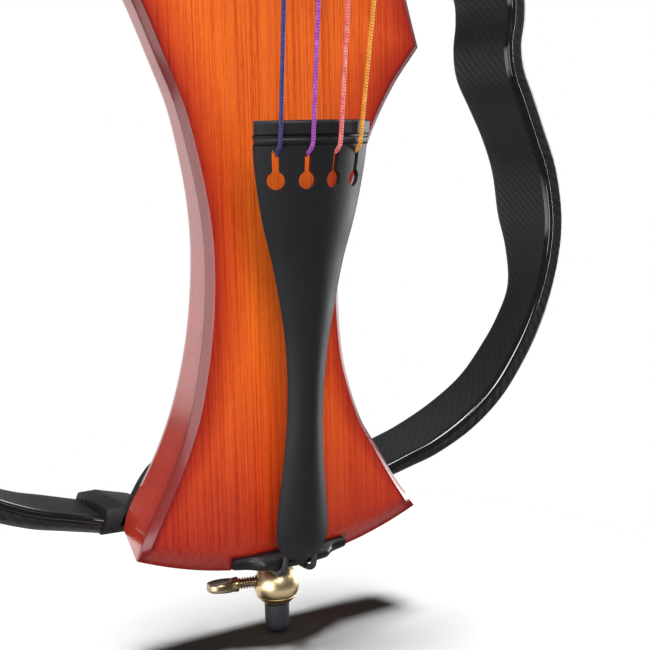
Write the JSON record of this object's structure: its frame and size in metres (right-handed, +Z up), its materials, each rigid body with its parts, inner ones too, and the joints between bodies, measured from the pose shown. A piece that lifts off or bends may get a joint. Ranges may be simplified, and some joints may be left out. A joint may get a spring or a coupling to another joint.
{
  "type": "electric cello",
  "caption": "Slim electric cello standing on a sliding endpin, with strings, tailpiece, bridge, neck, pegs and a carbon rib-shaped frame behind the body.",
  "frame": {"origin": "centre of the small flat on the endpin's rubber tip, on the endpin's axis", "axes": "+Z up along the endpin and body, -Y the way the strings and the top face, +X to the right of someone looking at the strings"},
  "size_m": [0.45, 0.1646, 1.2748],
  "materials": {
    "maple_red": "red-orange varnished maple, satin gloss",
    "spruce_red": "red-orange varnished spruce, fine vertical grain, darker at the edges",
    "neck_maple": "red-brown varnished maple",
    "bridge_maple": "plain unvarnished maple",
    "ebony": "oiled black ebony",
    "carbon": "clear-coated carbon fibre, matte twill on the inner face",
    "black_composite": "satin black composite",
    "black_gloss": "black, glossy",
    "black_cord": "black synthetic cord",
    "rubber": "dark grey rubber",
    "brass": "polished brass",
    "steel": "bright steel",
    "alloy_black": "black anodised",
    "string_indigo": "silk winding, indigo",
    "string_purple": "silk winding, purple",
    "string_pink": "silk winding, pink",
    "string_orange": "silk winding, yellow-orange",
    "bone": "pale bone",
    "board_green": "green circuit board",
    "battery_grey": "plain grey case"
  },
  "bodies": {
    "instrument": {"body_core": "maple_red", "top_plate": "spruce_red", "endpin_collar_cap": "brass", "endpin_collar": "brass", "endpin_bushing": "black_composite", "tailpiece": "black_composite", "tailgut": "black_cord", "saddle": "black_gloss", "string_c": "string_indigo", "string_ball_c": "brass", "string_g": "string_purple", "string_ball_g": "brass", "string_d": "string_pink", "string_ball_d": "brass", "string_a": "string_orange", "string_ball_a": "brass", "bridge": "bridge_maple", "bridge_pickup": "black_gloss", "pickup_lead": "black_cord", "neck": "neck_maple", "fingerboard": "ebony", "nut": "bone", "peg_housing_c": "alloy_black", "peg_housing_g": "alloy_black", "peg_housing_d": "alloy_black", "peg_housing_a": "alloy_black", "frame_band_left": "carbon", "frame_band_right": "carbon", "frame_lower_mount": "carbon", "frame_upper_mount": "carbon", "frame_screw_lower_left": "steel", "frame_screw_lower_right": "steel", "frame_screw_upper_left": "steel", "frame_screw_upper_right": "steel", "control_plate": "alloy_black", "circuit_board": "board_green", "battery": "battery_grey", "battery_door_pin": "steel", "headphone_jack": "steel", "output_jack": "steel", "plate_screw_lower": "steel", "plate_screw_upper": "steel"},
    "endpin": {"endpin_rod": "carbon", "endpin_tip": "rubber"},
    "thumbscrew": {"endpin_thumbscrew": "brass"},
    "peg_c": {"peg_head_c": "ebony"},
    "drum_c": {"peg_drum_c": "alloy_black"},
    "peg_g": {"peg_head_g": "ebony"},
    "drum_g": {"peg_drum_g": "alloy_black"},
    "peg_d": {"peg_head_d": "ebony"},
    "drum_d": {"peg_drum_d": "alloy_black"},
    "peg_a": {"peg_head_a": "ebony"},
    "drum_a": {"peg_drum_a": "alloy_black"},
    "volume_knob": {"volume_knob": "black_composite"},
    "bass_knob": {"bass_knob": "black_composite"},
    "treble_knob": {"treble_knob": "black_composite"},
    "power_switch": {"power_switch": "black_composite"},
    "battery_door": {"battery_door": "black_composite"}
  },
  "joints": [
    {"name": "endpin_slide", "type": "slide", "parent": "instrument", "child": "endpin", "axis": [0, 0, -1], "range_m": [0, 0.3]},
    {"name": "thumbscrew_turn", "type": "hinge", "parent": "instrument", "child": "thumbscrew", "pos_m": [0, 0, 0.0284], "axis": [-0.9781, 0.2079, 0], "range_deg": [-360, 720]},
    {"name": "peg_c_turn", "type": "hinge", "parent": "instrument", "child": "peg_c", "pos_m": [0, 0.00652, 1.116], "axis": [-1, 0, 0], "continuous": true},
    {"name": "drum_c_turn", "type": "hinge", "parent": "instrument", "child": "drum_c", "pos_m": [0, 0.00652, 1.116], "axis": [-1, 0, 0], "continuous": true},
    {"name": "peg_g_turn", "type": "hinge", "parent": "instrument", "child": "peg_g", "pos_m": [0, 0.01536, 1.16], "axis": [-1, 0, 0], "continuous": true},
    {"name": "drum_g_turn", "type": "hinge", "parent": "instrument", "child": "drum_g", "pos_m": [0, 0.01536, 1.16], "axis": [-1, 0, 0], "continuous": true},
    {"name": "peg_d_turn", "type": "hinge", "parent": "instrument", "child": "peg_d", "pos_m": [0, 0.01977, 1.182], "axis": [1, 0, 0], "continuous": true},
    {"name": "drum_d_turn", "type": "hinge", "parent": "instrument", "child": "drum_d", "pos_m": [0, 0.01977, 1.182], "axis": [1, 0, 0], "continuous": true},
    {"name": "peg_a_turn", "type": "hinge", "parent": "instrument", "child": "peg_a", "pos_m": [0, 0.01094, 1.138], "axis": [1, 0, 0], "continuous": true},
    {"name": "drum_a_turn", "type": "hinge", "parent": "instrument", "child": "drum_a", "pos_m": [0, 0.01094, 1.138], "axis": [1, 0, 0], "continuous": true},
    {"name": "volume_knob_turn", "type": "hinge", "parent": "instrument", "child": "volume_knob", "pos_m": [-0.014, 0.0198, 0.588], "axis": [0, 1, 0], "range_deg": [-145, 145]},
    {"name": "bass_knob_turn", "type": "hinge", "parent": "instrument", "child": "bass_knob", "pos_m": [-0.014, 0.0198, 0.566], "axis": [0, 1, 0], "range_deg": [-145, 145]},
    {"name": "treble_knob_turn", "type": "hinge", "parent": "instrument", "child": "treble_knob", "pos_m": [-0.014, 0.0198, 0.544], "axis": [0, 1, 0], "range_deg": [-145, 145]},
    {"name": "power_switch_slide", "type": "slide", "parent": "instrument", "child": "power_switch", "axis": [0, 0, 1], "range_m": [0, 0.004]},
    {"name": "battery_door_turn", "type": "hinge", "parent": "instrument", "child": "battery_door", "pos_m": [0, 0.0216, 0.445], "axis": [-1, 0, 0], "range_deg": [0, 110]}
  ],
  "couplings": [
    {"joint": "drum_c_turn", "follows": "peg_c_turn", "ratio": 0.11765},
    {"joint": "drum_g_turn", "follows": "peg_g_turn", "ratio": 0.11765},
    {"joint": "drum_d_turn", "follows": "peg_d_turn", "ratio": 0.11765},
    {"joint": "drum_a_turn", "follows": "peg_a_turn", "ratio": 0.11765}
  ]
}
